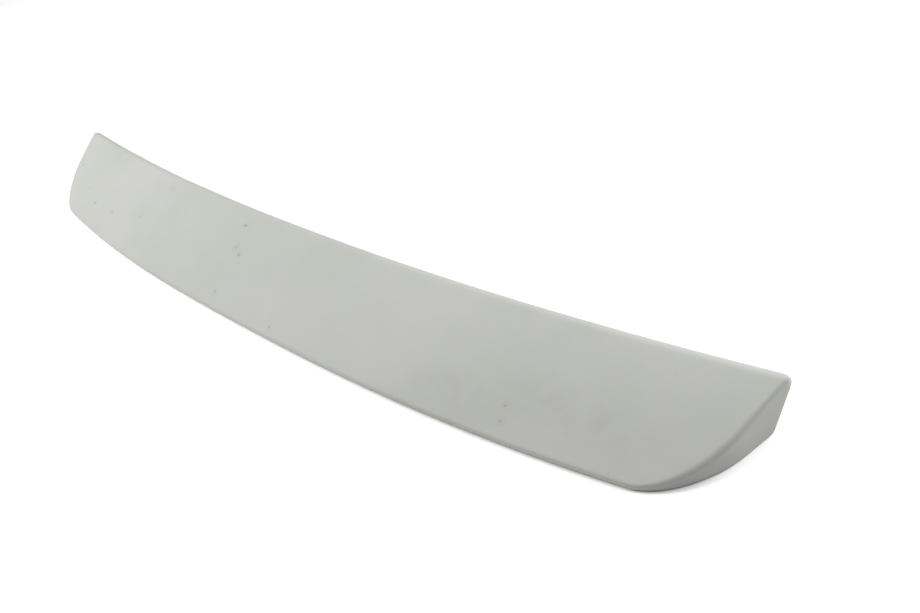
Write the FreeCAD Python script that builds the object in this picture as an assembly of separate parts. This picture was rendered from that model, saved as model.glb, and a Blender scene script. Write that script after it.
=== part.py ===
"""Rear spoiler for a car: one hollow moulding with a wedge section and a rounded lip.

X runs along the span, +Y points back towards the lip, +Z points up. The flat underside is the bonding
face, at Z = 0. A block between a foot outline and a rim outline is cut along the top face, then its lip,
its other top edges and its rear corners are rounded. A hollow of like form, set in by the wall, is taken
out from below.
"""

import math
import os

import FreeCAD
import Part
from FreeCAD import Vector

# Driving dimensions, in millimetres
SPAN = 1130.0  # lip corner to lip corner, before the edges are rounded
CHORD = 129.0  # leading edge to lip at mid-span, seen from above
LIP_SWEEP = 33.5  # the lip's corners lie this far behind its middle
LIP_SWEEP_POWER = 2.17  # 2 is a parabola, and more keeps the middle flatter
NOSE_SWEEP = 47.0  # the same for the leading edge, carried out to the lip's corners
NOSE_SWEEP_POWER = 2.46
LIP_HEIGHT = 55.0  # the sharp lip, before rounding, above the underside
NOSE_HEIGHT = 5.0  # thickness of the leading edge
TOP_BULGE = 3.0  # rise of the top face over a straight line from nose to lip
LIP_OVERHANG = 19.0  # the lip stands this far behind the foot of the rear wall
END_TAPER = 32.0  # each end runs in by this much from the lip to the leading edge
FRONT_CORNER_ALONG_END = 65.0  # length of the rounded front corner on the end
FRONT_CORNER_ALONG_NOSE = 48.0  # and on the leading edge
LIP_RADIUS = 8.0  # rounding of the lip
EDGE_RADIUS = 4.0  # rounding of the top edge along the ends and the nose
HEEL_RADIUS = 10.0  # rounding of the rear corners at the foot, which tightens to the edge's at the lip
WALL = 4.0  # thickness of the skin
FRONT_LAND = 16.0  # solid bonding land behind the leading edge
HOLLOW_HEIGHT = 43.0  # flat roof of the hollow, below the lip

# Construction values
STATIONS = 9  # sections along the span
OVERRUN = 12.0  # the top face's tool passes the part by this much
BELOW = 3.0  # the hollow's tool starts this far under the part
LEAST_CORNER = 2.0  # corners of the hollow stay at least this long
ROUND_HANDLE = 0.5523  # handle share that makes a cubic curve nearly circular
TANGENT_STEPS = 8  # steps from tangent to tangent towards a crossing

HALF_SPAN = SPAN / 2


def lip_y(x):
    """The lip in plan: flat at mid-span, swept back towards the ends."""
    return LIP_SWEEP * abs(x / HALF_SPAN) ** LIP_SWEEP_POWER


def nose_y(x):
    """The leading edge in plan."""
    return NOSE_SWEEP * abs(x / HALF_SPAN) ** NOSE_SWEEP_POWER - CHORD


def heel_inset(z):
    """How far the leaning rear wall stands in front of the lip at height z."""
    return LIP_OVERHANG * (1 - z / LIP_HEIGHT)


def spread(low, high, count):
    """Evenly spaced values from low to high."""
    return [low + (high - low) * i / (count - 1) for i in range(count)]


def tangent(curve, x):
    """Unit tangent of a plan curve, towards larger X."""
    step = HALF_SPAN / 10000
    return Vector(2 * step, curve(x + step) - curve(x - step), 0).normalize()


def crossing(point_a, direction_a, point_b, direction_b):
    """Where two plan lines meet."""
    gap = point_b - point_a
    turn = direction_a.x * direction_b.y - direction_a.y * direction_b.x
    return point_a + direction_a * ((gap.x * direction_b.y - gap.y * direction_b.x) / turn)


def on_curve(curve, x):
    """Point of a plan curve."""
    return Vector(x, curve(x), 0)


def meeting(point, direction, curve, x):
    """Where a plan line meets a plan curve, from a first guess at x."""
    for _ in range(TANGENT_STEPS):
        x = crossing(point, direction, on_curve(curve, x), tangent(curve, x)).x
    return on_curve(curve, x)


def corner_poles(start, start_direction, finish, finish_direction):
    """Poles of a smooth corner, tangent to a direction at each end."""
    corner = crossing(start, start_direction, finish, finish_direction)
    leave = start + (corner - start) * ROUND_HANDLE
    arrive = finish + (corner - finish) * ROUND_HANDLE
    return [start, leave, arrive, finish]


def bezier_edge(poles):
    curve = Part.BezierCurve()
    curve.setPoles(poles)
    return curve.toShape()


def plan_edge(curve, x_from, x_to):
    """Smooth edge along a plan curve."""
    line = Part.BSplineCurve()
    line.interpolate([on_curve(curve, x) for x in spread(x_from, x_to, STATIONS)])
    return line.toShape()


def inner_length(length, inset):
    """Length of a front corner on an outline that lies inside the first one."""
    return max(length - inset, LEAST_CORNER)


def mirrored(points):
    """The points on the left half, in the opposite order."""
    return [Vector(-p.x, p.y, p.z) for p in reversed(points)]


def outline(z, rear_inset, end_inset, front_inset):
    """Closed outline at height z: leading edge, rounded front corners, ends and rear edge."""

    def front(x):
        return nose_y(x) + front_inset

    def rear(x):
        return lip_y(x) - rear_inset

    lip_end = on_curve(lip_y, HALF_SPAN)
    nose_end = Vector(HALF_SPAN - END_TAPER, nose_y(HALF_SPAN), 0)
    forward = (nose_end - lip_end).normalize()
    end_line = lip_end + Vector(forward.y, -forward.x, 0) * end_inset

    front_tangent = tangent(front, nose_end.x)
    front_meet = crossing(end_line, forward, on_curve(front, nose_end.x), front_tangent)
    front_x = front_meet.x - inner_length(FRONT_CORNER_ALONG_NOSE, end_inset)
    end_front = front_meet - forward * inner_length(FRONT_CORNER_ALONG_END, front_inset)
    front_corner = corner_poles(on_curve(front, front_x), tangent(front, front_x), end_front, forward)

    end_back = meeting(end_line, forward, rear, HALF_SPAN)
    end = [end_front, end_back]
    edges = [
        plan_edge(front, -front_x, front_x),
        bezier_edge(front_corner),
        Part.LineSegment(*end).toShape(),
        plan_edge(rear, end_back.x, -end_back.x),
        Part.LineSegment(*mirrored(end)).toShape(),
        bezier_edge(mirrored(front_corner)),
    ]
    wire = Part.Wire(edges)
    wire.translate(Vector(0, 0, z))
    return wire


def top_profile(x, drop):
    """Parabola of the top face at station x, lowered by drop and run on past nose and lip."""
    run = lip_y(x) - nose_y(x)
    rise = LIP_HEIGHT - NOSE_HEIGHT
    over = OVERRUN / run
    first, last = -over, 1 + over

    def point(share):
        bulge = 4 * TOP_BULGE * share * (1 - share)
        return Vector(x, nose_y(x) + share * run, NOSE_HEIGHT + share * rise + bulge - drop)

    direction = Vector(0, run, rise + 4 * TOP_BULGE * (1 - 2 * first))
    middle = point(first) + direction * ((last - first) / 2)
    return [point(first), middle, point(last)]


def space_above(drop):
    """Everything above the top face, lowered by drop."""
    ceiling = LIP_HEIGHT + 3 * OVERRUN
    reach = HALF_SPAN + OVERRUN
    sections = []
    for x in spread(-reach, reach, STATIONS):
        poles = top_profile(x, drop)
        back = Vector(x, poles[-1].y, ceiling)
        front = Vector(x, poles[0].y, ceiling)
        lid = Part.makePolygon([poles[-1], back, front, poles[0]])
        sections.append(Part.Wire([bezier_edge(poles), *lid.Edges]))
    return Part.makeLoft(sections, True, False)


def block(z_low, z_high, rear_inset, end_inset, front_inset):
    """Solid with upright front and ends and a leaning rear wall."""
    foot = outline(z_low, heel_inset(z_low) + rear_inset, end_inset, front_inset)
    rim = outline(z_high, heel_inset(z_high) + rear_inset, end_inset, front_inset)
    return Part.makeLoft([foot, rim], True, True)


def two_ends(edge):
    return [edge.valueAt(edge.FirstParameter), edge.valueAt(edge.LastParameter)]


def corner_radius(z, inset):
    """Radius of a rear corner at height z."""
    outer = HEEL_RADIUS + (EDGE_RADIUS - HEEL_RADIUS) * z / LIP_HEIGHT
    return max(outer - inset, LEAST_CORNER)


def rear_corners(solid, inset):
    """The two edges that rise from the foot furthest back, each with its radius at both ends."""
    foot = min(vertex.Z for vertex in solid.Vertexes)
    rising = []
    for edge in solid.Edges:
        low, high = sorted(end.z for end in two_ends(edge))
        if low < foot + LEAST_CORNER < high:
            rising.append(edge)
    rising.sort(key=lambda edge: edge.CenterOfMass.y)
    return [(edge, *[corner_radius(end.z, inset) for end in two_ends(edge)]) for edge in rising[-2:]]


def rounded(solid, rows):
    """The solid with rounded edges. Each row is an edge and its radius at both ends."""
    document = FreeCAD.newDocument()
    base = document.addObject("Part::Feature", "Base")
    base.Shape = solid
    fillet = document.addObject("Part::Fillet", "Rounded")
    fillet.Base = base
    fillet.Edges = [
        (number, first, last)
        for number, edge in enumerate(solid.Edges, start=1)
        for chosen, first, last in rows
        if edge.isSame(chosen)
    ]
    document.recompute()
    return fillet.Shape


def outer_form():
    """The moulding's outside, solid, with its lip, its other top edges and its rear corners rounded."""
    sharp = block(0, LIP_HEIGHT + OVERRUN, 0, 0, 0).cut(space_above(0)).Solids[0]
    top_edges = max(sharp.Faces, key=lambda face: face.Area).OuterWire.Edges
    top_edges.sort(key=lambda edge: edge.CenterOfMass.z)
    *others, lip = top_edges
    rows = [(lip, LIP_RADIUS, LIP_RADIUS)]
    rows += [(edge, EDGE_RADIUS, EDGE_RADIUS) for edge in others]
    return rounded(sharp, rows + rear_corners(sharp, 0))


def hollow():
    """The space below the skin, open at the foot, that leaves the walls and the front land."""
    top_drop = WALL * math.hypot(1, (LIP_HEIGHT - NOSE_HEIGHT) / CHORD)
    rear_wall = WALL * math.hypot(1, LIP_OVERHANG / LIP_HEIGHT)
    space = block(-BELOW, HOLLOW_HEIGHT, rear_wall, WALL, FRONT_LAND)
    return rounded(space, rear_corners(space, WALL)).cut(space_above(top_drop))


def true_box(shape):
    """Bounding box of the surface itself, not of its poles."""
    return shape.optimalBoundingBox(False, False)


def spoiler():
    """The finished moulding, standing on Z = 0 and centred over the origin."""
    moulding = outer_form().cut(hollow())
    box = true_box(moulding)
    moulding.translate(Vector(-box.Center.x, -box.Center.y, -box.ZMin))
    return moulding


def main():
    os.makedirs("parts", exist_ok=True)
    moulding = spoiler()
    box = true_box(moulding)
    size = f"{box.XLength:.1f} x {box.YLength:.1f} x {box.ZLength:.1f} mm"
    print(f"spoiler {size}, {moulding.Volume / 1000:.0f} cm3")
    moulding.exportStep("parts/spoiler_moulding.step")


main()
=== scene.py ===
"""Looks of a one-piece car spoiler: a matte grey hollow moulding that lies on a pale studio floor.

The moulding is one closed surface. Its top skin and the underside of that skin are two patches, each a
function of two parameters, and a strip of rings joins their borders: over the rounded edge, down the
outer wall, round the trimmed foot, across the bonding rim and up the inner wall.
Lengths are in metres, X runs along the span, +Y points back towards the lip and +Z points up.
"""

import logging
import math
from dataclasses import astuple, dataclass, field, fields
from enum import Enum

import bpy
import numpy as np
from mathutils import Matrix, Vector
from numpy.typing import NDArray

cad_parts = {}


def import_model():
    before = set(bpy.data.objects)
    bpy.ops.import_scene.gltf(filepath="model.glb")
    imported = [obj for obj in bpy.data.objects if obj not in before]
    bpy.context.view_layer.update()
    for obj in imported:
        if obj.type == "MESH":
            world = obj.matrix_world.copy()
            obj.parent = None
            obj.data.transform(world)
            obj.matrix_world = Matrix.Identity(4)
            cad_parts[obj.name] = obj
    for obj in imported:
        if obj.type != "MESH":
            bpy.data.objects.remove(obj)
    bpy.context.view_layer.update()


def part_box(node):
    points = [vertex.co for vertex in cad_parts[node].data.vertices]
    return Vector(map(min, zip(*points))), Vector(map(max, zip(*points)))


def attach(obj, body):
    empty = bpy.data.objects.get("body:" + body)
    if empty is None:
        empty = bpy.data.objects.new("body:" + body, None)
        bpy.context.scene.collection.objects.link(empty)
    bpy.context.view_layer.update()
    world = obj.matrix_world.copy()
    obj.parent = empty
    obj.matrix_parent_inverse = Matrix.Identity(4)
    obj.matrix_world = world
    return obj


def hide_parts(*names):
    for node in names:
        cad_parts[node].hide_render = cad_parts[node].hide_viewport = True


Array = NDArray[np.float64]
Indices = NDArray[np.int64]
Span = tuple[float, float]
Place = tuple[float, float, float]
Colour = tuple[float, float, float, float]
Socket = bpy.types.NodeSocket

LOG = logging.getLogger("spoiler")
MOULDING_NODE = "spoiler_moulding"
MOULDING_BODY = "root"
GELCOAT_SLOT = "grey_gelcoat"
PHOTO_WIDTH_PX = 920

# Factors that turn a point to its mirror image, and a direction to a level one
MIRROR_X = np.array([-1, 1, 1])
LEVEL = np.array([1, 1, 0])

# Handle share that makes a cubic curve nearly circular
ROUND_HANDLE = 0.5523

# Makes the largest value of s (1 - s)^2 one
BUMP_SCALE = 27 / 4

# Steps from a grid point to its eight neighbours, in turn
NEIGHBOUR_ROWS = np.array([0, 1, 1, 1, 0, -1, -1, -1])
NEIGHBOUR_COLUMNS = np.array([1, 1, 0, -1, -1, -1, 0, 1])

# Steps from a grid point to the four cells round it
CELL_ROWS = np.array([-1, -1, 0, 0])
CELL_COLUMNS = np.array([-1, 0, -1, 0])


class SurfaceMark(Enum):
    """Point attributes of the moulding that its finish reads."""

    # Stain round the pinholes, and painted shade inside their pits
    PINHOLE = "pinhole"
    LAMINATE = "laminate"


def unit(vectors: Array) -> Array:
    """Vectors of length one, along the last axis."""
    return vectors / np.linalg.norm(vectors, axis=-1, keepdims=True)


def crossing(point_a: Array, direction_a: Array, point_b: Array, direction_b: Array) -> Array:
    """Where two plan lines meet.

    Args:
        point_a: A point of the first line.
        direction_a: The first line's direction.
        point_b: A point of the second line.
        direction_b: The second line's direction.

    Returns:
        The common point.
    """
    gap = point_b - point_a
    turn = direction_a[0] * direction_b[1] - direction_a[1] * direction_b[0]
    return point_a + direction_a * ((gap[0] * direction_b[1] - gap[1] * direction_b[0]) / turn)


def smooth_step(values: Array) -> Array:
    """Smooth rise from 0 to 1 while the values go from 0 to 1: 3 v^2 - 2 v^3."""
    held = np.clip(values, 0, 1)
    return held * held * (3 - 2 * held)


def turned(first: Array, second: Array, share: Array | float) -> Array:
    """Unit vectors turned evenly in their common plane, from the first (share 0) to the second (1)."""
    angle = np.arccos(np.clip((first * second).sum(axis=-1, keepdims=True), -1, 1))
    return (np.sin((1 - share) * angle) * first + np.sin(share * angle) * second) / np.sin(angle)


def rounded_meet(first: Array, second: Array, cosine: Array, radius: Array | float) -> Array:
    """Distance outside a body between two faces whose common edge is rounded.

    With u and v the distances from the faces moved in by the radius, and c the cosine between the normals,
    the ball's middle is sqrt((u^2 + v^2 - 2 c u v) / (1 - c^2)) away. That distance less the radius counts
    where the ball is what is met, and elsewhere the larger of the two distances from the faces.

    Args:
        first: Signed distances from the first face, positive outside.
        second: The same for the second face.
        cosine: Cosine of the angle between the faces' normals.
        radius: Radius of the rounded edge.

    Returns:
        Signed distances, positive outside.
    """
    u, v = first + radius, second + radius
    on_ball = (u > cosine * v) & (v > cosine * u)
    ball = np.sqrt(np.maximum(u * u + v * v - 2 * cosine * u * v, 0) / (1 - cosine**2)) - radius
    return np.where(on_ball, ball, np.maximum(first, second))


def grid_cells(grid: Indices) -> Indices:
    """The four corners of each cell of a grid of indices, in turn, along a new last axis."""
    return np.stack([grid[:-1, :-1], grid[:-1, 1:], grid[1:, 1:], grid[1:, :-1]], axis=-1)


@dataclass(frozen=True)
class Wave:
    """A sine wave over the plan: its height, its turns along X and Y in radians a metre, and its phase."""

    height: float
    along: float
    across: float
    phase: float = 0.0

    def rise(self, x: Array, y: Array) -> Array:
        """Height at plan places: the sine of each place times its turn, added up, plus the phase."""
        return self.height * np.sin(self.along * x + self.across * y + self.phase)


@dataclass(frozen=True)
class Laminate:
    """Uneven hand-laid glass fibre inside the moulding: crossed waves, bent by slower ones."""

    lump: float = 0.0004
    bends_along: tuple[Wave, ...] = (Wave(0.012, 37, 45), Wave(0.007, 83, 0, 1.3))
    bends_across: tuple[Wave, ...] = (Wave(0.010, 29, 0, 2.0), Wave(0.006, 71, -40, 0.4))
    waves: tuple[Wave, ...] = (Wave(1, 190, 60), Wave(1, 97, -170, 0.7), Wave(1, 330, 260, 2.1))

    def lumps(self, points: Array) -> Array:
        """Rise along Z: the mean of the waves at places that the bends have moved.

        Args:
            points: Grid of points on the roof of the hollow.

        Returns:
            The rise at each point, zero along the grid's border.
        """
        x, y = points[..., 0], points[..., 1]
        along = x + sum(bend.rise(x, y) for bend in self.bends_along)
        across = y + sum(bend.rise(x, y) for bend in self.bends_across)
        lumps = self.lump * sum(wave.rise(along, across) for wave in self.waves) / len(self.waves)
        lumps[[0, -1], :] = 0
        lumps[:, [0, -1]] = 0
        return lumps


@dataclass(frozen=True)
class HandFinish:
    """Slight unevenness that hand work leaves on the outside. It only takes material away."""

    face_depth: float = 0.00025
    face_pitch: float = 0.19
    face_slant: float = 0.6
    cross_run: float = 0.43
    cross_slant: float = -1.3
    cross_phase: float = 1.1
    lip_depth: float = 0.0008
    lip_pitch: float = 0.036
    lip_long_pitch: float = 0.0828
    lip_short_share: float = 0.35
    lip_long_share: float = 0.15
    lip_middle: float = -0.31
    lip_stretch: float = 0.15
    lip_reach: float = 0.014

    def face_drop(self, x: Array, y: Array) -> Array:
        """Depth of the broad hollows of the face: two slow sine waves that cross, never below zero.

        Args:
            x: Places along the span.
            y: Places across it.

        Returns:
            Depths below the face as moulded.
        """
        turn = 2 * np.pi / self.face_pitch
        along = np.sin(turn * (x + self.face_slant * y))
        across = np.sin(turn * (self.cross_run * x + self.cross_slant * y) + self.cross_phase)
        return self.face_depth * (1 - (along + across) / 2) / 2

    def lip_cut(self, x: Array) -> Array:
        """How far the lip was rubbed back: a short and a longer wave over one stretch, never below zero.

        Args:
            x: Places along the span.

        Returns:
            Depths of the cut, zero outside the stretch.
        """
        stretch = smooth_step(1 - np.abs(x - self.lip_middle) / self.lip_stretch)
        short = 1 - np.sin(2 * np.pi * x / self.lip_pitch)
        long = 1 - np.sin(2 * np.pi * x / self.lip_long_pitch)
        return self.lip_depth * stretch * (self.lip_short_share * short + self.lip_long_share * long)


@dataclass(frozen=True)
class SpoilerForm:
    """The moulding's driving sizes, and the curves and faces that follow from them, on its right half."""

    nose_at: float
    span: float = 1.130
    chord: float = 0.129
    lip_sweep: float = 0.0335
    lip_sweep_power: float = 2.17
    nose_sweep: float = 0.047
    nose_sweep_power: float = 2.46
    lip_height: float = 0.055
    nose_height: float = 0.005
    top_bulge: float = 0.003
    lip_overhang: float = 0.019
    end_taper: float = 0.032
    front_corner_along_end: float = 0.065
    front_corner_along_nose: float = 0.048

    @property
    def half_span(self) -> float:
        """Mid-span to the sharp lip corner."""
        return self.span / 2

    @property
    def lip_end(self) -> Array:
        """The sharp lip corner in plan."""
        return np.array([self.half_span, float(self.lip_y(self.half_span))])

    @property
    def forward(self) -> Array:
        """Direction of the end in plan, from the lip to the nose."""
        nose_end = np.array([self.half_span - self.end_taper, float(self.nose_y(self.half_span))])
        return unit(nose_end - self.lip_end)

    @property
    def outward(self) -> Array:
        """Outward normal of the end in plan."""
        return np.array([-self.forward[1], self.forward[0]])

    def sweep(self, x: Array, depth: float, power: float) -> Array:
        """Sweep back from mid-span: a power of the distance along the span."""
        return depth * np.abs(x / self.half_span) ** power

    def nose_y(self, x: Array) -> Array:
        """The leading edge in plan."""
        return self.nose_at + self.sweep(x, self.nose_sweep, self.nose_sweep_power)

    def lip_y(self, x: Array) -> Array:
        """The sharp lip in plan."""
        return self.nose_at + self.chord + self.sweep(x, self.lip_sweep, self.lip_sweep_power)

    def rear_y(self, x: Array, z: Array) -> Array:
        """The leaning rear wall: the lip moved forward in step with the depth below it."""
        return self.lip_y(x) - self.lip_overhang * (1 - z / self.lip_height)

    def rear_normal(self, x: Array) -> Array:
        """Outward unit normals of the rear wall, from the lip's slope in plan and the wall's lean.

        Args:
            x: Places along the span.

        Returns:
            Normals, with the coordinates last.
        """
        step = 1e-3
        slope = (self.lip_y(x + step) - self.lip_y(x - step)) / (2 * step)
        lean = np.full_like(slope, -self.lip_overhang / self.lip_height)
        return unit(np.stack([-slope, np.ones_like(slope), lean], axis=-1))

    def top_z(self, x: Array, y: Array) -> Array:
        """Height of the top face: a parabola from nose to lip over the local chord.

        Args:
            x: Places along the span.
            y: Places across it.

        Returns:
            Heights above the bonding face.
        """
        nose = self.nose_y(x)
        share = (y - nose) / (self.lip_y(x) - nose)
        line = self.nose_height + share * (self.lip_height - self.nose_height)
        return line + 4 * self.top_bulge * share * (1 - share)


@dataclass(frozen=True)
class GridCount:
    """Cells of the moulding's mesh, and the rounds that even them out."""

    along: int = 440
    across: int = 56
    fan: int = 16
    rounding: int = 14
    wall: int = 9
    foot: int = 5
    inner_wall: int = 7
    inner_rounding: int = 5
    relaxing: int = 300

    @property
    def half(self) -> int:
        """Cells from mid-span to a corner."""
        return self.along // 2


@dataclass(frozen=True)
class PlanLine:
    """Nose, front corner and end in plan, as fine points from mid-span of the nose to the sharp lip corner.

    It has the points' outward normals, the index of the front corner's middle, and the point where the
    straight of the end begins.
    """

    points: Array
    normals: Array
    corner_middle: int
    end_front: Array

    @property
    def run(self) -> Array:
        """Length along the line at each point."""
        return np.concatenate([[0], np.cumsum(np.linalg.norm(np.diff(self.points, axis=0), axis=1))])

    def at(self, lengths: Array) -> tuple[Array, Array]:
        """Reads the line at some lengths.

        Args:
            lengths: Lengths along the line.

        Returns:
            The points there and their outward unit normals.
        """
        run = self.run
        points = np.stack([np.interp(lengths, run, self.points[:, axis]) for axis in (0, 1)], axis=1)
        normals = np.stack([np.interp(lengths, run, self.normals[:, axis]) for axis in (0, 1)], axis=1)
        return points, unit(normals)


@dataclass(frozen=True)
class Stations:
    """Places round the right half of one side of the skin, from mid-span of the nose to mid-span of the lip.

    Each has a wall in plan, the radius of the edge above it, a starting point for rays under the rounded
    edge and one at the foot, and the directions in which the top face and the wall are met.
    """

    wall_point: Array
    wall_normal: Array
    edge_radius: Array
    high: Array
    low: Array
    up: Array
    side: Array

    @staticmethod
    def joined(*stretches: "Stations") -> "Stations":
        """Puts some stretches of stations one after the other.

        Args:
            stretches: The stretches, in order.

        Returns:
            All their stations.
        """
        names = [entry.name for entry in fields(Stations)]
        columns = [[getattr(stretch, name) for stretch in stretches] for name in names]
        return Stations(*[np.concatenate(column) for column in columns])


@dataclass(frozen=True)
class Inset:
    """How far an outline lies inside the moulding's outer one, on each side."""

    rear: float = 0.0
    end: float = 0.0
    front: float = 0.0


@dataclass(frozen=True)
class SkinSide:
    """One side of the skin: the faces that bound it and the radii of its rounded edges.

    Rays that start inside it find its surface. Their starting points lie a share of the wall's height below
    the face, and always a little deeper than the edge's radius.
    """

    form: SpoilerForm
    lip_radius: float
    edge_radius: float
    heel_radius: float
    corner_extra: float = 0.0
    end_extra: float = 0.0
    inset: Inset = Inset()
    drop: float = 0.0
    roof: float = 1.0
    roof_blend: float = 0.003
    least_corner: float = 0.002
    start_share: float = 0.45
    start_margin: float = 1.04
    ray_length: float = 0.06
    halvings: int = 34
    settling: int = 30
    settling_share: float = 0.6
    corner_search: Span = (0.8, 1.05)
    search_steps: int = 200
    plan_steps: int = 400

    @property
    def end_wall(self) -> Array:
        """Rearmost point of the end in plan, before the corner is rounded."""
        return self.form.lip_end - self.form.outward * self.inset.end

    def height(self, x: Array, y: Array) -> Array:
        """Height of the face: the top face less the drop, run smoothly into a flat roof if that is lower."""
        over = self.form.top_z(x, y) - self.drop - self.roof
        return self.roof + (over - np.sqrt(over**2 + self.roof_blend**2)) / 2

    def face_normal(self, x: Array, y: Array) -> Array:
        """Upward unit normals of the face, from its slopes along X and Y.

        Args:
            x: Places along the span.
            y: Places across it.

        Returns:
            Normals, with the coordinates last.
        """
        step = 2e-4
        slope_x = (self.height(x + step, y) - self.height(x - step, y)) / (2 * step)
        slope_y = (self.height(x, y + step) - self.height(x, y - step)) / (2 * step)
        return unit(np.stack([-slope_x, -slope_y, np.ones_like(slope_x)], axis=-1))

    def end_radius(self, tall: Array) -> Array:
        """Radius of the edge over a wall, widened by a bump s (1 - s)^2 with s from nose to lip height."""
        share = np.clip((tall - self.form.nose_height) / (self.form.lip_height - self.form.nose_height), 0, 1)
        return self.edge_radius + self.end_extra * BUMP_SCALE * share * (1 - share) ** 2

    def corner_radius(self, z: Array) -> Array:
        """Radius of the rear corner: it grows evenly from the edge's at the lip to the heel's at the foot."""
        return self.heel_radius + (self.edge_radius - self.heel_radius) * z / self.form.lip_height

    def distance(self, points: Array, stations: Stations) -> Array:
        """Distance outside the body: face and rear wall meet in the rounded lip, and both meet a wall.

        The radius along the wall goes over smoothly from the edge's, on the face's side, to the rear
        corner's, on the rear wall's side, and is a little larger at the lip between them.

        Args:
            points: Places, one for each station.
            stations: The stations, whose walls and edges belong to the places.

        Returns:
            Signed distances, positive outside.
        """
        x, y, z = points[..., 0], points[..., 1], points[..., 2]
        face_normal, rear_normal = self.face_normal(x, y), self.form.rear_normal(x)
        face = (z - self.height(x, y)) * face_normal[..., 2]
        rear = (y - self.form.rear_y(x, z) + self.inset.rear) * rear_normal[..., 1]
        body = rounded_meet(face, rear, (face_normal * rear_normal).sum(axis=-1), self.lip_radius)
        wall = ((points[..., :2] - stations.wall_point) * stations.wall_normal).sum(axis=-1)
        share = smooth_step(0.5 + (rear - face) / (2 * self.lip_radius))
        normal = (1 - share[..., None]) * face_normal + share[..., None] * rear_normal
        cosine = (normal[..., :2] * stations.wall_normal).sum(axis=-1)
        radius = (1 - share) * stations.edge_radius + share * self.corner_radius(z)
        radius = radius + 4 * self.corner_extra * share * (1 - share)
        return rounded_meet(body, wall, cosine, radius)

    def leave(self, stations: Stations, start: Array, direction: Array) -> Array:
        """Where rays leave the body, found by halving the stretch that holds the zero of the distance.

        Args:
            stations: Stations, along the first axis of the rays.
            start: Starting points inside the body.
            direction: Unit directions.

        Returns:
            The points on the surface.
        """
        near = np.zeros(start.shape[:-1])
        far = np.full(start.shape[:-1], self.ray_length)
        for _ in range(self.halvings):
            middle = (near + far) / 2
            outside = self.distance(start + direction * middle[..., None], stations) > 0
            near, far = np.where(outside, near, middle), np.where(outside, middle, far)
        return start + direction * near[..., None]

    def rounding(self, stations: Stations, share: float) -> Array:
        """Ring over the rounded edge: rays turned from the face's normal (0) to the wall's (1)."""
        return self.leave(stations, stations.high, turned(stations.up, stations.side, share))

    def wall(self, stations: Stations, share: Array | float) -> Array:
        """Ring on the wall: level rays from starting points that sink in step with the share.

        Args:
            stations: The stations.
            share: 0 for the edge and 1 for the foot, one value or one for each station.

        Returns:
            Points on the wall, one for each station.
        """
        level = unit(stations.side * LEVEL)
        start = stations.high + (stations.low - stations.high) * np.reshape(share, (-1, 1))
        return self.leave(stations, start, level)

    def front_y(self, x: Array | float) -> Array:
        """The leading edge of this side in plan."""
        return self.form.nose_y(x) + self.inset.front

    def front_tangent(self, x: float) -> Array:
        """Unit tangent of the leading edge in plan, towards the end."""
        step = 1e-4
        return unit(np.array([2 * step, self.front_y(x + step) - self.front_y(x - step)]))

    def plan(self) -> PlanLine:
        """Nose, front corner and end in plan.

        The front corner is a cubic curve whose handles reach a fixed share of the way to the sharp corner.

        Returns:
            The line.
        """
        form, fine, forward = self.form, self.plan_steps, self.form.forward
        nose_x = form.half_span - form.end_taper
        nose_point = np.array([nose_x, self.front_y(nose_x)])
        sharp = crossing(self.end_wall, forward, nose_point, self.front_tangent(nose_x))
        front_x = sharp[0] - max(form.front_corner_along_nose - self.inset.end, self.least_corner)
        start = np.array([front_x, self.front_y(front_x)])
        finish = sharp - forward * max(form.front_corner_along_end - self.inset.front, self.least_corner)
        bend = crossing(start, self.front_tangent(front_x), finish, forward)
        leave, arrive = start + (bend - start) * ROUND_HANDLE, finish + (bend - finish) * ROUND_HANDLE

        x = np.linspace(0, front_x, fine)[:-1]
        nose = np.stack([x, self.front_y(x)], axis=1)
        t = np.linspace(0, 1, fine + 1)[:, None]
        first_half = (1 - t) ** 3 * start + 3 * (1 - t) ** 2 * t * leave
        corner = first_half + 3 * (1 - t) * t**2 * arrive + t**3 * finish
        straight = finish + (self.end_wall - finish) * np.linspace(0, 1, fine)[1:, None]
        points = np.concatenate([nose, corner, straight])
        along = unit(np.gradient(points, axis=0))
        normals = np.stack([along[:, 1], -along[:, 0]], axis=1)
        return PlanLine(points, normals, len(nose) + fine // 2, finish)

    def lip_centre(self, x: Array) -> Array:
        """Middle of the lip's ball.

        It is the sharp lip less radius * (n + m) / (1 + n.m), for the normals n and m of face and rear wall.
        The sharp lip itself is found by moving its height towards the face's, again and again.

        Args:
            x: Places along the span.

        Returns:
            Points, with the coordinates last.
        """
        z = np.full_like(x, self.form.lip_height)
        for _ in range(self.settling):
            y = self.form.rear_y(x, z) - self.inset.rear
            z = z + self.settling_share * (self.height(x, y) - z)
        up, back = self.face_normal(x, y), self.form.rear_normal(x)
        both = (up + back) / (1 + (up * back).sum(axis=-1, keepdims=True))
        return np.stack([x, y, z], axis=-1) - self.lip_radius * both

    def heel_centre(self) -> Array:
        """Middle of the rear corner's rounding at the foot, one heel radius from the end and the rear wall.

        It slides along the end by what it lacks towards the rear wall, again and again.

        Returns:
            The point, at the foot's height.
        """
        form, radius = self.form, self.heel_radius
        point = form.lip_end - form.outward * (self.inset.end + radius)
        back = form.rear_normal(point[0])
        closing = -(form.forward @ back[:2])
        for _ in range(self.settling):
            lack = (point[1] - form.rear_y(point[0], 0.0) + self.inset.rear) * back[1] + radius
            point = point + form.forward * lack / closing
        return np.array([point[0], point[1], 0.0])

    def corner_x(self) -> float:
        """Place along the span where the lip's ball comes within one lip radius of the end.

        Returns:
            The X value.
        """
        first, last = self.corner_search
        x = np.linspace(first * self.form.half_span, last * self.form.half_span, self.search_steps)
        depth = (self.lip_centre(x)[:, :2] - self.end_wall) @ self.form.outward
        return float(np.interp(-self.lip_radius, depth, x))

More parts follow.
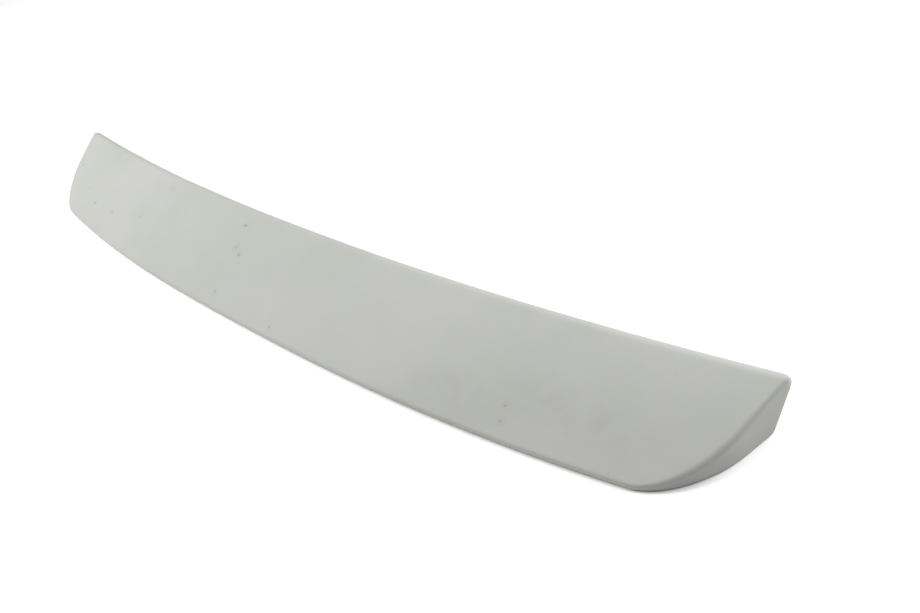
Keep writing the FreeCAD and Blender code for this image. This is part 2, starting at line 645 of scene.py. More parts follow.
    def end_stations(self, grid: GridCount, corner: Array, heel: Array) -> Stations:
        """Stations along the nose, the front corner and the end, evenly spaced on either side of the corner.

        Args:
            grid: Cell counts.
            corner: Middle of the lip's ball at the end.
            heel: Middle of the rear corner's rounding at the foot.

        Returns:
            The stations. Along the end's straight their feet shift in step towards the heel.
        """
        form, line = self.form, self.plan()
        middle = line.run[line.corner_middle]
        last = line.run[-1] - np.linalg.norm(self.end_wall - (corner[:2] + form.outward * self.lip_radius))
        to_corner = np.linspace(0, middle, grid.half + 1)[:-1]
        plan, normal = line.at(np.concatenate([to_corner, np.linspace(middle, last, grid.across + 1)]))

        tall = self.height(plan[:, 0], plan[:, 1])
        edge = self.end_radius(tall)
        depth = np.clip(self.start_share * tall, self.edge_radius, self.lip_radius)
        depth = np.maximum(depth, self.start_margin * edge)
        inside = plan - normal * depth[:, None]
        up = self.face_normal(inside[:, 0], inside[:, 1])
        high = np.column_stack([inside, self.height(inside[:, 0], inside[:, 1]) - depth / up[:, 2]])

        straight = np.linalg.norm(plan[-1] - line.end_front)
        progress = np.maximum((plan - line.end_front) @ -form.forward, 0) / straight
        shift = (heel[:2] + form.outward * self.heel_radius - plan[-1]) * progress[:, None]
        ground = np.zeros(len(plan))
        low, side = np.column_stack([inside + shift, ground]), np.column_stack([normal, ground])
        return Stations(plan, normal, edge, high, low, up, side)

    def lip_stations(self, grid: GridCount, corner_x: float, heel: Array, edge: float) -> Stations:
        """Stations along the lip, from its corner to mid-span.

        Args:
            grid: Cell counts.
            corner_x: Where the lip's stretch begins.
            heel: Middle of the rear corner's rounding at the foot.
            edge: Radius of the end's edge at the lip.

        Returns:
            The stations. Their feet spread out from mid-span to the heel.
        """
        form = self.form
        x = np.linspace(corner_x, 0, grid.half + 1)
        high, side = self.lip_centre(x), form.rear_normal(x)
        heel_x = heel[0] + self.heel_radius * unit(side[0, :2])[0]
        foot_x = x * heel_x / corner_x
        foot_y = form.rear_y(foot_x, 0.0) - self.inset.rear - self.lip_radius
        return Stations(
            wall_point=np.tile(self.end_wall, (len(x), 1)),
            wall_normal=np.tile(form.outward, (len(x), 1)),
            edge_radius=np.full(len(x), edge),
            high=high,
            low=np.stack([foot_x, foot_y, np.zeros_like(foot_x)], axis=1),
            up=self.face_normal(high[:, 0], high[:, 1]),
            side=side,
        )

    def fan_stations(self, grid: GridCount, end: Stations, lip: Stations, heel: Array) -> Stations:
        """Stations of the fan at the lip's corner, which turns from the end's direction to the lip's.

        Args:
            grid: Cell counts.
            end: Stations before the fan.
            lip: Stations after it.
            heel: Middle of the rear corner's rounding at the foot.

        Returns:
            The stations, which share their starting points.
        """
        share = np.linspace(0, 1, grid.fan + 1)[1:-1, None]
        copies = (len(share), 1)
        return Stations(
            wall_point=np.tile(self.end_wall, copies),
            wall_normal=np.tile(self.form.outward, copies),
            edge_radius=np.full(len(share), end.edge_radius[-1]),
            high=np.tile(end.high[-1], copies),
            low=np.tile(heel, copies),
            up=np.tile(end.up[-1], copies),
            side=turned(np.array([*self.form.outward, 0.0]), lip.side[0], share),
        )

    def stations(self, grid: GridCount) -> Stations:
        """Places the stations of the right half.

        Args:
            grid: Cell counts.

        Returns:
            Nose and end, a fan at the lip's corner, then the lip.
        """
        corner_x, heel = self.corner_x(), self.heel_centre()
        corner = self.lip_centre(np.array([corner_x]))[0]
        end = self.end_stations(grid, corner, heel)
        lip = self.lip_stations(grid, corner_x, heel, end.edge_radius[-1])
        return Stations.joined(end, self.fan_stations(grid, end, lip, heel), lip)


@dataclass(frozen=True)
class Pinhole:
    """A small open pit in the gelcoat: its plan place, its radius, and how dark its stain and the painted
    shade inside it are.
    """

    x: float
    y: float
    radius: float
    darkness: float


@dataclass(frozen=True)
class PitRing:
    """A ring inside a pinhole, as shares of the pinhole's radius, depth and darkness; inside the pit the
    darkness is painted shade.
    """

    reach: float
    sunk: float
    darkness: float


@dataclass(frozen=True)
class Pinholes:
    """The gelcoat's pinholes, most of them on the left half, and the section, stain and painted shade they
    share.
    """

    depth_share: float = 0.4
    stain_reach: float = 0.0035
    stain_share: float = 0.35
    # Darkness that grows with a ring's depth is painted shade inside the pit; on the face round it, a stain
    rings: tuple[PitRing, ...] = (
        PitRing(1.25, 0.0, 0.3),
        PitRing(1.0, 0.08, 0.45),
        PitRing(0.75, 0.5, 0.85),
        PitRing(0.4, 0.95, 1.0),
    )
    holes: tuple[Pinhole, ...] = (
        Pinhole(-0.528, 0.019, 0.0015, 0.35),
        Pinhole(-0.466, -0.010, 0.0013, 0.30),
        Pinhole(-0.426, -0.025, 0.0014, 0.35),
        Pinhole(-0.368, -0.028, 0.0015, 0.45),
        Pinhole(-0.296, -0.020, 0.0012, 0.30),
        Pinhole(-0.084, 0.019, 0.0015, 0.60),
        Pinhole(-0.077, -0.008, 0.0010, 0.45),
        Pinhole(-0.065, -0.014, 0.0014, 0.50),
        Pinhole(-0.068, -0.062, 0.0011, 0.30),
        Pinhole(0.047, -0.068, 0.0010, 0.35),
        Pinhole(0.360, -0.048, 0.0009, 0.40),
        Pinhole(0.357, -0.035, 0.0009, 0.40),
    )

    def columns(self) -> tuple[Array, Array, Array]:
        """The plan places, radii and darkness of all pinholes, as arrays."""
        table = np.array([astuple(hole) for hole in self.holes])
        return table[:, :2], table[:, 2], table[:, 3]

    def stain(self, points: Array) -> Array:
        """Soft stain round the pinholes: a share of each one's darkness that falls off as a bell curve.

        Args:
            points: Points of the face.

        Returns:
            The stain at each point.
        """
        places, _, dark = self.columns()
        away = np.linalg.norm(points[..., None, :2] - places, axis=-1) / self.stain_reach
        return self.stain_share * (dark * np.exp(-(away**2))).sum(axis=-1)

    def cells(self, points: Array) -> tuple[Indices, Indices]:
        """Inner grid points that lie nearest to the pinholes.

        Args:
            points: Grid of points of the face.

        Returns:
            Their rows and columns.
        """
        places = self.columns()[0]
        away = np.linalg.norm(points[None, 1:-1, 1:-1, :2] - places[:, None, None], axis=-1)
        row, column = np.unravel_index(away.reshape(len(places), -1).argmin(axis=1), away.shape[1:])
        return row + 1, column + 1


@dataclass
class MeshParts:
    """Points, faces and point attributes that are gathered before they become one mesh."""

    points: list[Array] = field(default_factory=list)
    quads: list[Indices] = field(default_factory=list)
    triangles: list[Indices] = field(default_factory=list)
    pinhole: list[Array] = field(default_factory=list)
    laminate: list[Array] = field(default_factory=list)
    count: int = 0

    def add_points(
        self, points: Array, pinhole: float | Array = 0.0, laminate: float | Array = 0.0
    ) -> Indices:
        """Adds points.

        Args:
            points: Points of any grid shape, with the coordinates last.
            pinhole: Their pinhole attribute: a stain, and painted shade inside the pits.
            laminate: Their laminate attribute.

        Returns:
            Their indices, in the grid's shape.
        """
        grid = points.shape[:-1]
        indices = self.count + np.arange(int(np.prod(grid))).reshape(grid)
        self.points.append(points.reshape(-1, 3))
        self.pinhole.append(np.broadcast_to(pinhole, grid).ravel())
        self.laminate.append(np.broadcast_to(laminate, grid).ravel())
        self.count += indices.size
        return indices

    def add_quads(self, cells: Indices) -> None:
        """Adds four-sided faces, given as index sets of any grid shape."""
        self.quads.append(cells.reshape(-1, 4))

    def add_triangles(self, cells: Indices) -> None:
        """Adds three-sided faces, given as index sets of any grid shape."""
        self.triangles.append(cells.reshape(-1, 3))

    def build(self, name: str) -> bpy.types.Object:
        """Makes the mesh object.

        Args:
            name: Name of the object and its mesh.

        Returns:
            The object, linked to the scene and smoothly shaded.
        """
        points = np.concatenate(self.points)
        quads = np.concatenate(self.quads)
        triangles = np.concatenate(self.triangles) if self.triangles else np.zeros((0, 3), dtype=np.int64)
        corners = np.concatenate([quads.ravel(), triangles.ravel()])
        starts = np.concatenate([np.arange(len(quads)) * 4, quads.size + np.arange(len(triangles)) * 3])

        mesh = bpy.data.meshes.new(name)
        mesh.vertices.add(len(points))
        mesh.vertices.foreach_set("co", points.astype(np.float32).ravel())
        mesh.loops.add(len(corners))
        mesh.loops.foreach_set("vertex_index", corners.astype(np.int32))
        mesh.polygons.add(len(starts))
        mesh.polygons.foreach_set("loop_start", starts.astype(np.int32))
        mesh.polygons.foreach_set("use_smooth", np.ones(len(starts), dtype=bool))
        for mark, values in ((SurfaceMark.PINHOLE, self.pinhole), (SurfaceMark.LAMINATE, self.laminate)):
            layer = mesh.attributes.new(mark.value, "FLOAT", "POINT")
            layer.data.foreach_set("value", np.concatenate(values).astype(np.float32))
        mesh.update(calc_edges=True)
        mesh.validate()
        piece = bpy.data.objects.new(name, mesh)
        bpy.context.scene.collection.objects.link(piece)
        return piece


@dataclass
class SpoilerMoulding:
    """The hollow moulding: its skin, lip, walls, bonding rim and pinholes, as one closed mesh.

    The easing powers crowd the rings of a wall towards the rounded edge above it or the corner beside it.
    """

    form: SpoilerForm
    grid: GridCount = field(default_factory=GridCount)
    hand: HandFinish = field(default_factory=HandFinish)
    pinholes: Pinholes = field(default_factory=Pinholes)
    laminate: Laminate = field(default_factory=Laminate)
    lip_radius: float = 0.0082
    edge_radius: float = 0.0036
    heel_radius: float = 0.010
    corner_extra: float = 0.0032
    end_extra: float = 0.003
    inner_edge_radius: float = 0.003
    foot_break: float = 0.0020
    foot_break_share: float = 0.6
    wall: float = 0.004
    front_land: float = 0.016
    hollow_height: float = 0.043
    wall_easing: float = 1.6
    inner_wall_easing: float = 1.5
    rim_shares: tuple[float, ...] = (0.06, 0.5, 0.94, 1.0)

    def outside(self) -> SkinSide:
        """The outside of the skin.

        Returns:
            The side, with its edges widened at the lip's corners and along the ends.
        """
        return SkinSide(
            self.form,
            lip_radius=self.lip_radius,
            edge_radius=self.edge_radius,
            heel_radius=self.heel_radius,
            corner_extra=self.corner_extra,
            end_extra=self.end_extra,
        )

    def inside(self) -> SkinSide:
        """The inside of the skin, one wall away.

        Returns:
            The side, under a flat roof below the lip and behind a bonding land at the nose.
        """
        lean = math.hypot(1, self.form.lip_overhang / self.form.lip_height)
        slope = (self.form.lip_height - self.form.nose_height) / self.form.chord
        return SkinSide(
            self.form,
            lip_radius=self.lip_radius - self.wall,
            edge_radius=self.inner_edge_radius,
            heel_radius=self.heel_radius - self.wall,
            inset=Inset(rear=self.wall * lean, end=self.wall, front=self.front_land),
            drop=self.wall * math.hypot(1, slope),
            roof=self.hollow_height,
        )

    def rubbed(self, points: Array) -> Array:
        """Points of the outside after hand work.

        The face's hollows lower a point by their depth, less towards the foot. The lip's cut moves it forward
        and, by half as much, down, and fades out with the distance from the lip.

        Args:
            points: Points as moulded.

        Returns:
            The points after hand work.
        """
        x, y, z = points[..., 0], points[..., 1], points[..., 2]
        share = smooth_step(z / self.form.lip_height)
        near_lip = smooth_step(1 - (self.form.lip_y(x) - y) / self.hand.lip_reach)
        cut = self.hand.lip_cut(x) * near_lip * share
        drop = self.hand.face_drop(x, y) * smooth_step(z / (3 * self.form.nose_height))
        return np.stack([x, y - cut, z - drop - cut / 2], axis=-1)

    def around(self, half: Array) -> Array:
        """Whole ring from its right half: the half, then its mirror image backwards without the middles."""
        return np.concatenate([half, half[-2:0:-1] * MIRROR_X])

    def border_half(self) -> Indices:
        """Stations of the right half that a patch's border takes, which leaves out the fan at the corner."""
        corner = self.grid.half + self.grid.across
        return np.concatenate([np.arange(corner + 1), corner + self.grid.fan + 1 + np.arange(self.grid.half)])

    def patch(self, half: Array, side: SkinSide) -> Array:
        """Four-sided patch inside a ring.

        Plan places blend the four sides: nose to lip, plus left end to right end, minus the blend of the
        four corners. Each inner place is then moved to the middle of its four neighbours, again and again,
        which spreads the cells evenly round the corners. The height is that of the face plus the ring's own
        offset from it, blended alike.

        Args:
            half: Right half of the ring, from mid-span of the nose to mid-span of the lip.
            side: The side of the skin.

        Returns:
            Points, shape (across + 1, along + 1, 3).
        """
        middle, across = self.grid.half, self.grid.across
        border = half[self.border_half()]
        offset = border[:, 2] - side.height(border[:, 0], border[:, 1])
        right_half = np.column_stack([border[:, :2], offset])
        left_half = right_half * MIRROR_X
        nose = np.concatenate([left_half[middle:0:-1], right_half[: middle + 1]])
        lip = np.concatenate([left_half[middle + across : -1], right_half[: middle + across - 1 : -1]])
        right = right_half[middle : middle + across + 1]
        left = left_half[middle : middle + across + 1]
        s = np.linspace(0, 1, self.grid.along + 1)[None, :, None]
        t = np.linspace(0, 1, across + 1)[:, None, None]
        corners = (1 - t) * ((1 - s) * nose[0] + s * nose[-1]) + t * ((1 - s) * lip[0] + s * lip[-1])
        plan = (1 - t) * nose[None] + t * lip[None] + (1 - s) * left[:, None] + s * right[:, None] - corners
        for _ in range(self.grid.relaxing):
            beside = plan[1:-1, :-2] + plan[1:-1, 2:] + plan[:-2, 1:-1] + plan[2:, 1:-1]
            plan[1:-1, 1:-1] = beside / 4
        height = side.height(plan[..., 0], plan[..., 1]) + plan[..., 2]
        return np.concatenate([plan[..., :2], height[..., None]], axis=-1)

    def border(self, grid: Indices) -> Indices:
        """Border of a patch in the order of around(), with each rear corner repeated for its fan.

        Args:
            grid: Indices of the patch.

        Returns:
            Indices of the border, from mid-span of the nose.
        """
        middle, fan = self.grid.half, self.grid.fan
        right = [grid[0, middle:-1], grid[:, -1], np.repeat(grid[-1, -1], fan), grid[-1, middle:-1][::-1]]
        left = [grid[-1, 1:middle][::-1], np.repeat(grid[-1, 0], fan), grid[::-1, 0], grid[0, 1:middle]]
        return np.concatenate(right + left)

    def outer_rings(self, side: SkinSide, stations: Stations, inner_foot: Array) -> list[Array]:
        """Rings from just below the top patch's border to the foot's broken edge.

        The broken edge is a quadratic curve from the wall to the rim whose handle is the sharp foot.

        Args:
            side: The outside of the skin.
            stations: Its stations.
            inner_foot: Half ring where the inner wall meets the rim.

        Returns:
            Half rings, from the top down.
        """
        rings = [side.rounding(stations, share) for share in np.linspace(0, 1, self.grid.rounding + 1)[1:]]
        reach = np.minimum(self.foot_break, self.foot_break_share * stations.high[:, 2])
        stop = 1 - reach / stations.high[:, 2]
        shares = 1 - (1 - np.linspace(0, 1, self.grid.wall + 1)[1:]) ** self.wall_easing
        rings += [side.wall(stations, share * stop) for share in shares]
        above, foot = rings[-1], side.wall(stations, 1.0)
        beyond = foot + unit((inner_foot - foot) * LEVEL) * reach[:, None]
        for t in np.linspace(0, 1, self.grid.foot + 1)[1:]:
            rings.append((1 - t) ** 2 * above + 2 * t * (1 - t) * foot + t**2 * beyond)
        return rings

    def inner_rings(self, side: SkinSide, stations: Stations) -> list[Array]:
        """Rings up the inner wall and over its rounded corner, without the last, which the patch has.

        Args:
            side: The inside of the skin.
            stations: Its stations.

        Returns:
            Half rings, from the foot up.
        """
        shares = 1 - np.linspace(0, 1, self.grid.inner_wall + 1)[1:-1] ** self.inner_wall_easing
        rings = [side.wall(stations, share) for share in shares]
        steps = np.linspace(1, 0, self.grid.inner_rounding + 1)[:-1]
        return rings + [side.rounding(stations, share) for share in steps]

    def add_strip(self, parts: MeshParts, strip: Indices) -> None:
        """Adds the cells between neighbouring rings: four-sided, and three-sided where a fan shares a point.

        Args:
            parts: The mesh under way.
            strip: Indices of the rings, one row each.
        """
        after = np.roll(strip, -1, axis=1)
        cells = np.stack([strip[:-1], strip[1:], after[1:], after[:-1]], axis=-1).reshape(-1, 4)
        first_shared, last_shared = cells[:, 0] == cells[:, 3], cells[:, 1] == cells[:, 2]
        parts.add_triangles(cells[first_shared][:, [0, 1, 2]])
        parts.add_triangles(cells[last_shared][:, [0, 1, 3]])
        parts.add_quads(cells[~first_shared & ~last_shared])

    def add_top(self, parts: MeshParts, grid: Indices, points: Array) -> None:
        """Adds the cells of the top patch and opens the pinholes in it.

        A pinhole takes the four cells round its nearest grid point and fills them with rings. A ring point is
        the middle point plus the ring's share of the radius towards one of the eight neighbours, sunk by the
        ring's share of the depth along the normal. The rings darken with their depth: painted shade in the
        pit.

        Args:
            parts: The mesh under way, with the top patch's points in it.
            grid: Indices of the top patch.
            points: Its points.
        """
        _, radius, dark = self.pinholes.columns()
        row, column = self.pinholes.cells(points)
        rows, columns = row[:, None] + NEIGHBOUR_ROWS, column[:, None] + NEIGHBOUR_COLUMNS
        middle = points[row, column]
        normal = self.outside().face_normal(middle[:, 0], middle[:, 1])
        towards = unit(points[rows, columns] - middle[:, None])
        sink = normal * (self.pinholes.depth_share * radius)[:, None]
        neighbours = len(NEIGHBOUR_ROWS)

        previous = grid[rows, columns]
        # Each ring's pinhole value darkens with its depth: painted shade inside the pit, a stain on the face
        # round it
        for pit in self.pinholes.rings:
            ring = middle[:, None] + towards * (pit.reach * radius)[:, None, None] - pit.sunk * sink[:, None]
            shade = np.repeat(pit.darkness * dark[:, None], neighbours, axis=1)
            current = parts.add_points(ring, pinhole=shade)
            after, next_after = np.roll(previous, -1, axis=1), np.roll(current, -1, axis=1)
            parts.add_quads(np.stack([previous, after, next_after, current], axis=-1))
            previous = current
        bottom = np.repeat(parts.add_points(middle - sink, pinhole=dark)[:, None], neighbours, axis=1)
        parts.add_triangles(np.stack([previous, np.roll(previous, -1, axis=1), bottom], axis=-1))

        cells = grid_cells(grid)
        taken = np.zeros(cells.shape[:2], dtype=bool)
        taken[row[:, None] + CELL_ROWS, column[:, None] + CELL_COLUMNS] = True
        parts.add_quads(cells[~taken])

    def build(self) -> bpy.types.Object:
        """Builds the moulding: top patch, strip of rings, patch under the skin.

        Returns:
            The mesh object.
        """
        outside, inside = self.outside(), self.inside()
        outer, inner = outside.stations(self.grid), inside.stations(self.grid)
        parts = MeshParts()
        top_points = self.rubbed(self.patch(outside.rounding(outer, 0.0), outside))
        top = parts.add_points(top_points, pinhole=self.pinholes.stain(top_points))
        self.add_top(parts, top, top_points)

        inner_foot = inside.wall(inner, 1.0)
        outer_half = self.outer_rings(outside, outer, inner_foot)
        foot = outer_half[-1]
        rim_half = [foot + (inner_foot - foot) * share for share in self.rim_shares]
        inner_half = self.inner_rings(inside, inner)
        shell = [self.rubbed(self.around(half)) for half in outer_half]
        under_shell = [self.around(half) for half in rim_half + inner_half]
        rings = [parts.add_points(np.stack(shell)), parts.add_points(np.stack(under_shell), laminate=1.0)]

        under_points = self.patch(inside.rounding(inner, 0.0), inside)
        under_points[..., 2] += self.laminate.lumps(under_points)
        under = parts.add_points(under_points, laminate=1.0)
        parts.add_quads(grid_cells(under)[..., [0, 3, 2, 1]])
        self.add_strip(parts, np.concatenate([self.border(top)[None], *rings, self.border(under)[None]]))
        return parts.build("spoiler_skin")


class Nodes:
    """Short calls for building a material's node tree."""

    def __init__(self, tree: bpy.types.NodeTree) -> None:
        """Keeps the tree and empties it."""
        self.tree = tree
        tree.nodes.clear()

    def add(
        self, kind: str, inputs: dict[str | int, object] | None = None, **settings: object
    ) -> bpy.types.Node:
        """Adds a node.

        Args:
            kind: Node type, such as ShaderNodeTexNoise.
            inputs: Socket names or numbers, each with a value or with an output socket to link from.
            settings: Properties of the node.

        Returns:
            The node.
        """
        node = self.tree.nodes.new(kind)
        for name, value in settings.items():
            setattr(node, name, value)
        for name, value in (inputs or {}).items():
            if isinstance(value, Socket):
                self.tree.links.new(value, node.inputs[name])
            else:
                node.inputs[name].default_value = value
        return node

    def remap(self, value: Socket, source: Span, target: Span = (0.0, 1.0)) -> Socket:
        """Maps a range of values smoothly onto another.

        Args:
            value: The values.
            source: Their range.
            target: The range they are mapped onto.

        Returns:
            The mapped values, held inside the target range.
        """
        inputs = {"Value": value, "From Min": source[0], "From Max": source[1]}
        inputs.update({"To Min": target[0], "To Max": target[1]})
        return self.add("ShaderNodeMapRange", inputs, interpolation_type="SMOOTHSTEP").outputs["Result"]

    def mix(self, factor: Socket, first: object, second: object) -> Socket:
        """Mixes two colours."""
        return self.add("ShaderNodeMix", {0: factor, 6: first, 7: second}, data_type="RGBA").outputs[2]

    def noise(self, place: Socket, scale: float, detail: float = 2.0, roughness: float = 0.5) -> Socket:
        """Noise value at a place."""
        inputs = {"Vector": place, "Scale": scale, "Detail": detail, "Roughness": roughness}
        return self.add("ShaderNodeTexNoise", inputs).outputs["Fac"]

    def math(self, operation: str, first: object, second: object) -> Socket:
        """Result of a sum, product or the like."""
        return self.add("ShaderNodeMath", {0: first, 1: second}, operation=operation).outputs["Value"]

    def attribute(self, mark: SurfaceMark) -> Socket:
        """Value of a point attribute."""
        return self.add("ShaderNodeAttribute", attribute_name=mark.value).outputs["Fac"]


@dataclass(frozen=True)
class Smudge:
    """A soft grey mark left by handling: its middle, and its reach along and across the face."""

    middle: Place
    along: float
    across: float


@dataclass(frozen=True)
class GelcoatFinish:
    """Matte light-grey gelcoat, with faint clouds, smudges, and pinholes with painted shade in their pits,
    over a raw laminate inside.
    """

    grey: Colour = (0.348, 0.355, 0.331, 1)
    pale: Colour = (0.370, 0.375, 0.355, 1)
    smudged: Colour = (0.294, 0.300, 0.277, 1)
    # Colour of the stain round the pinholes and of the painted shade inside their pits
    pit_shade_and_stain: Colour = (0.15, 0.145, 0.12, 1)
    resin: Colour = (0.36, 0.37, 0.31, 1)
    strand: Colour = (0.52, 0.53, 0.47, 1)
    specular: float = 0.2
    roughness: Span = (0.6, 0.7)
    roughness_scale: float = 55
    roughness_noise: Span = (0.3, 0.7)
    cloud_scale: float = 7
    cloud_noise: Span = (0.35, 0.7)
    grain_scale: float = 300
    grain_noise: Span = (0.52, 0.75)
    grain_share: float = 0.12
    patchy_scale: float = 45
    patchy_noise: Span = (0.3, 0.75)
    patchy_share: Span = (0.1, 0.5)
    peel_scale: float = 420
    peel_height: float = 0.00004
    fibre_height: float = 0.00035
    strand_turns: tuple[float, ...] = (0.3, 1.35, 2.4)
    strand_scale: Place = (45, 700, 45)
    strand_noise: Span = (0.55, 0.72)
    smudges: tuple[Smudge, ...] = (
        Smudge((0.298, -0.044, 0.016), 0.060, 0.028),
        Smudge((0.385, -0.019, 0.024), 0.055, 0.026),
        Smudge((0.444, -0.016, 0.022), 0.062, 0.030),
        Smudge((-0.271, 0.027, 0.045), 0.045, 0.018),
    )

    def build(self) -> bpy.types.Material:
        """Makes the material.

        Returns:
            The material, which reads object coordinates and the moulding's two point attributes.
        """
        material = bpy.data.materials.new(GELCOAT_SLOT)
        material.use_nodes = True
        nodes = Nodes(material.node_tree)
        place = nodes.add("ShaderNodeTexCoord").outputs["Object"]
        inside = nodes.attribute(SurfaceMark.LAMINATE)
        pinhole = nodes.attribute(SurfaceMark.PINHOLE)

        strands = self.strands(nodes, place)
        # The pinhole attribute mixes in the stain round the pinholes and painted shade inside their pits
        skin = nodes.mix(pinhole, self.skin_colour(nodes, place), self.pit_shade_and_stain)
        colour = nodes.mix(inside, skin, nodes.mix(strands, self.resin, self.strand))
        sheen = nodes.noise(place, self.roughness_scale, 3)
        roughness = nodes.remap(sheen, self.roughness_noise, self.roughness)

        peel = nodes.math("MULTIPLY", nodes.noise(place, self.peel_scale, 2), self.peel_height)
        fibre = nodes.math("MULTIPLY", strands, self.fibre_height)
        relief = nodes.add("ShaderNodeMix", {0: inside, 2: peel, 3: fibre}, data_type="FLOAT").outputs[0]
        bump = nodes.add("ShaderNodeBump", {"Height": relief, "Strength": 1.0, "Distance": 1.0})
        inputs = {"Base Color": colour, "Roughness": roughness, "Specular IOR Level": self.specular}
        inputs["Normal"] = bump.outputs["Normal"]
        surface = nodes.add("ShaderNodeBsdfPrincipled", inputs).outputs["BSDF"]
        nodes.add("ShaderNodeOutputMaterial", {"Surface": surface})
        return material

    def skin_colour(self, nodes: Nodes, place: Socket) -> Socket:
        """Colour of the outside: grey with broad pale clouds, a fine grain and the smudges.

        Args:
            nodes: The material's nodes.
            place: Object coordinates.

        Returns:
            The colour.
        """
        clouds = nodes.remap(nodes.noise(place, self.cloud_scale, 3, 0.55), self.cloud_noise)
        colour = nodes.mix(clouds, self.grey, self.pale)
        speckle = nodes.noise(place, self.grain_scale, 3)
        grain = nodes.remap(speckle, self.grain_noise, (0.0, self.grain_share))
        colour = nodes.mix(grain, colour, self.smudged)
        for smudge in self.smudges:
            colour = nodes.mix(self.smudge_strength(nodes, place, smudge), colour, self.smudged)
        return colour

    def smudge_strength(self, nodes: Nodes, place: Socket, smudge: Smudge) -> Socket:
        """Strength of one smudge: it fades outwards from its middle and is broken up by noise.

        Args:
            nodes: The material's nodes.
            place: Object coordinates.
            smudge: The smudge.

        Returns:
            The strength, from 0 outside its reach.
        """
        scale = (1 / smudge.along, 1 / smudge.across, 1 / smudge.along)
        location = tuple(-value * size for value, size in zip(smudge.middle, scale))
        centred = nodes.add("ShaderNodeMapping", {"Vector": place, "Location": location, "Scale": scale})
        inputs = {"Vector": centred.outputs["Vector"]}
        fade = nodes.add("ShaderNodeTexGradient", inputs, gradient_type="SPHERICAL").outputs["Fac"]
        uneven = nodes.noise(place, self.patchy_scale, 4, 0.6)
        return nodes.math("MULTIPLY", fade, nodes.remap(uneven, self.patchy_noise, self.patchy_share))

    def strands(self, nodes: Nodes, place: Socket) -> Socket:
        """Chopped glass strands: noise drawn out along some directions in plan, and the strongest of them.

        Args:
            nodes: The material's nodes.
            place: Object coordinates.

        Returns:
            The strength of the strands, from 0 to 1.
        """
        strongest = None
        for turn in self.strand_turns:
            drawn = {"Vector": place, "Rotation": (0, 0, turn), "Scale": self.strand_scale}
            vector = nodes.add("ShaderNodeMapping", drawn).outputs["Vector"]
            layer = nodes.remap(nodes.noise(vector, 1.0, 1), self.strand_noise)
            strongest = layer if strongest is None else nodes.math("MAXIMUM", strongest, layer)
        return strongest


@dataclass(frozen=True)
class FloorFinish:
    """Smooth pale studio floor."""

    colour: Colour = (0.90, 0.90, 0.90, 1)
    roughness: float = 0.75
    specular: float = 0.2

    def build(self) -> bpy.types.Material:
        """Makes the material.

        Returns:
            The material.
        """
        material = bpy.data.materials.new("studio_floor")
        material.use_nodes = True
        nodes = Nodes(material.node_tree)
        inputs = {"Base Color": self.colour, "Roughness": self.roughness, "Specular IOR Level": self.specular}
        surface = nodes.add("ShaderNodeBsdfPrincipled", inputs).outputs["BSDF"]
        nodes.add("ShaderNodeOutputMaterial", {"Surface": surface})
        return material


@dataclass(frozen=True)
class SoftLight:
    """A square soft box that points at the spoiler."""

    name: str
    place: Place
    size: float
    watts: float
    aim: Place = (0.05, 0.0, 0.02)

    def build(self) -> bpy.types.Object:
        """Makes the light.

        Returns:
            The light, turned towards its aim.
        """
        data = bpy.data.lights.new(self.name, "AREA")
        data.shape = "SQUARE"
        data.size = self.size
        data.energy = self.watts
        light = bpy.data.objects.new(self.name, data)
        direction = Vector(self.aim) - Vector(self.place)
        turn = direction.to_track_quat("-Z", "Y").to_matrix().to_4x4()
        light.matrix_world = Matrix.Translation(self.place) @ turn
        bpy.context.scene.collection.objects.link(light)
        return light


@dataclass
class Studio:
    """Pale floor, plain soft light and a dim plain surround."""

    floor_size: float = 14.0
    floor_height: float = -0.0004
    surround: Colour = (1, 1, 1, 1)
    surround_strength: float = 0.06
    lights: tuple[SoftLight, ...] = (
        SoftLight("left_softbox", (-1.56, -0.60, 1.48), 1.3, 41),
        SoftLight("low_front_softbox", (-0.88, -1.69, 0.42), 0.8, 15),
        SoftLight("back_right_softbox", (1.26, 1.16, 1.15), 1.2, 51),
        SoftLight("overhead_softbox", (-0.5, 0.3, 2.0), 1.2, 17),
    )

    def build_floor(self) -> bpy.types.Object:
        """Makes the floor: a level grid of plan places at one height, just under the rim.

        Returns:
            The floor.
        """
        places = np.linspace(-self.floor_size / 2, self.floor_size / 2, 3)
        x, y = np.meshgrid(places, places)
        parts = MeshParts()
        grid = parts.add_points(np.stack([x, y, np.full_like(x, self.floor_height)], axis=-1))
        parts.add_quads(grid_cells(grid))
        floor = parts.build("studio_floor")
        floor.data.materials.append(FloorFinish().build())
        return floor

    def build_surround(self) -> None:
        """Makes the surround, a plain world of one colour."""
        world = bpy.data.worlds.new("studio_surround")
        world.use_nodes = True
        nodes = Nodes(world.node_tree)
        inputs = {"Color": self.surround, "Strength": self.surround_strength}
        background = nodes.add("ShaderNodeBackground", inputs).outputs["Background"]
        nodes.add("ShaderNodeOutputWorld", {"Surface": background})
        bpy.context.scene.world = world

    def build(self) -> None:
        """Makes the floor, the lights and the surround, and shows colours as they are."""
        pieces = [self.build_floor(), *[light.build() for light in self.lights]]
        self.build_surround()
        bpy.context.scene.view_settings.view_transform = "Standard"
        LOG.info("studio: %s", ", ".join(piece.name for piece in pieces))


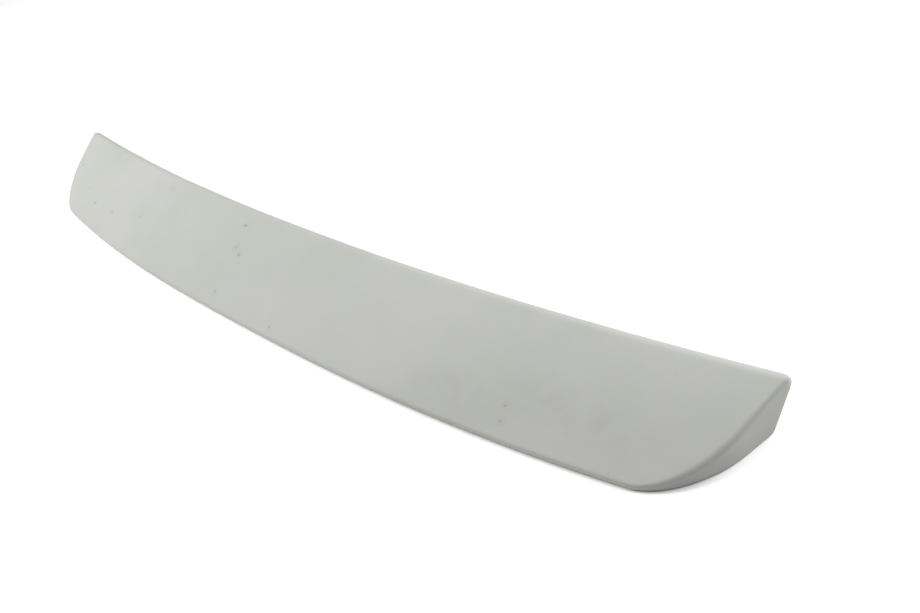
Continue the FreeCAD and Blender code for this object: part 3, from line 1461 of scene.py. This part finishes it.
@dataclass(frozen=True)
class PhotoCamera:
    """Camera at the photograph's viewing angle: seen from the right front, from above, and rolled.

    Its target lies as far back as the lip does at mid-span.
    """

    target_y: float
    target_x: float = 0.2251
    target_z: float = 0.0061
    azimuth_deg: float = 54.93
    elevation_deg: float = 40.70
    roll_deg: float = -21.16
    distance: float = 0.8617
    focal_px: float = 850.0
    sensor_mm: float = 36.0

    def axes(self) -> Matrix:
        """Camera axes, turned by the roll about the view.

        Returns:
            Right, up and back, as columns.
        """
        azimuth, elevation = math.radians(self.azimuth_deg), math.radians(self.elevation_deg)
        back = Vector((
            math.sin(azimuth) * math.cos(elevation),
            -math.cos(azimuth) * math.cos(elevation),
            math.sin(elevation),
        ))
        level = Vector((math.cos(azimuth), math.sin(azimuth), 0))
        axes = Matrix((level, back.cross(level), back)).transposed()
        return axes @ Matrix.Rotation(math.radians(self.roll_deg), 3, "Z")

    def build(self) -> bpy.types.Object:
        """Makes the camera.

        Returns:
            The camera, set as the scene's.
        """
        data = bpy.data.cameras.new("photo_camera")
        data.sensor_fit = "HORIZONTAL"
        data.sensor_width = self.sensor_mm
        data.lens = self.focal_px / PHOTO_WIDTH_PX * self.sensor_mm
        axes = self.axes()
        place = Vector((self.target_x, self.target_y, self.target_z)) + axes.col[2] * self.distance
        camera = bpy.data.objects.new("photo_camera", data)
        camera.matrix_world = Matrix.Translation(place) @ axes.to_4x4()
        bpy.context.scene.collection.objects.link(camera)
        bpy.context.scene.camera = camera
        return camera


def main() -> None:
    """Builds the moulding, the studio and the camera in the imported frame."""
    logging.basicConfig(level=logging.INFO, format="%(name)s: %(message)s")
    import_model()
    low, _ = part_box(MOULDING_NODE)

    form = SpoilerForm(nose_at=low.y)
    skin = SpoilerMoulding(form).build()
    skin.data.materials.append(GelcoatFinish().build())
    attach(skin, MOULDING_BODY)
    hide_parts(MOULDING_NODE)
    LOG.info("%s: %d faces", skin.name, len(skin.data.polygons))

    Studio().build()
    camera = PhotoCamera(target_y=form.nose_at + form.chord).build()
    LOG.info("%s at %s", camera.name, tuple(round(value, 3) for value in camera.location))


if __name__ == "__main__":
    main()
